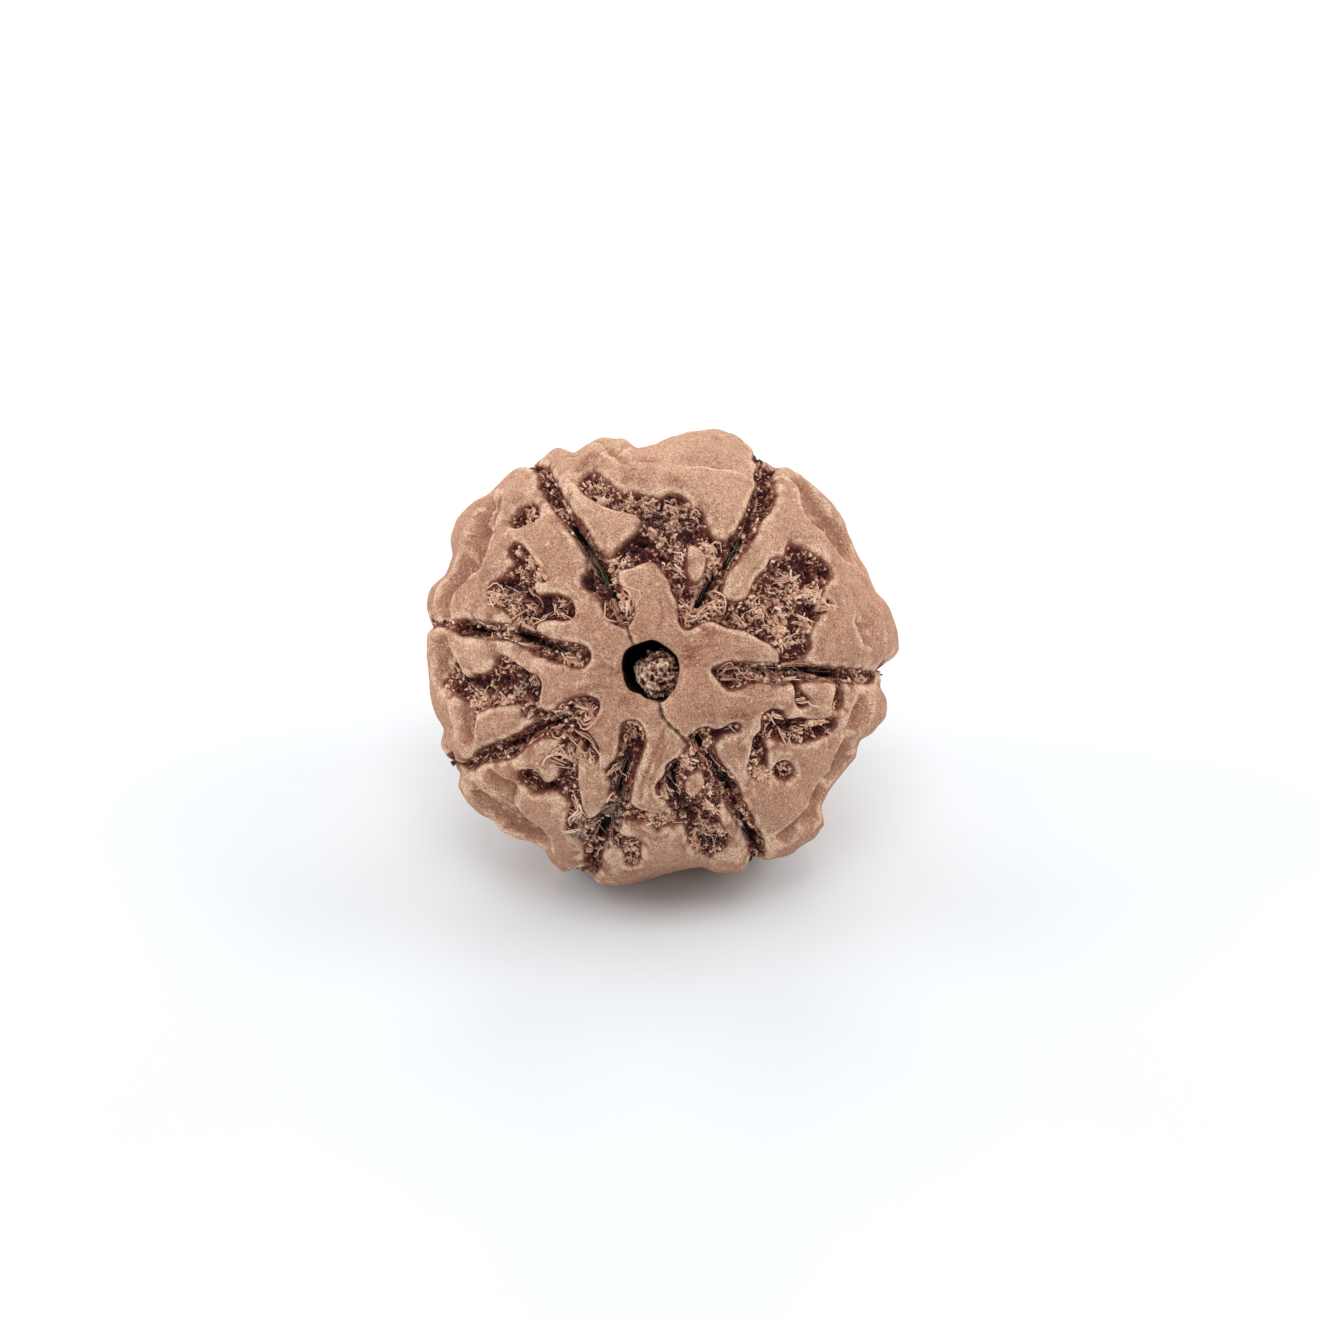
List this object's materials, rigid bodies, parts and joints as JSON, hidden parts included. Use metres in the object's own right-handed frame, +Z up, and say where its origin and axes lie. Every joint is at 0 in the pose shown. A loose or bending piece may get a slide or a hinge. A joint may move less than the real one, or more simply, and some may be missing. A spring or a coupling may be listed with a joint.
{
  "type": "rudraksha seed",
  "caption": "Round woody rudraksha stone with deep grooves from mouth to mouth, worn plates, open pits and a channel through its axis with pith left in the front mouth.",
  "frame": {"origin": "middle of the bounding box's base, on the surface that the stone rests on", "axes": "+Z up; +X across the stone, the longest extent of its box; the front mouth of the channel looks towards -Y and 33 degrees up"},
  "size_m": [0.0234, 0.0216, 0.0215],
  "materials": {
    "woody_stone": "dry, matt and finely grained on the plates, with dark crumbly fibre in pits and grooves"
  },
  "bodies": {
    "root": {"seed_stone": "woody_stone"}
  },
  "joints": []
}
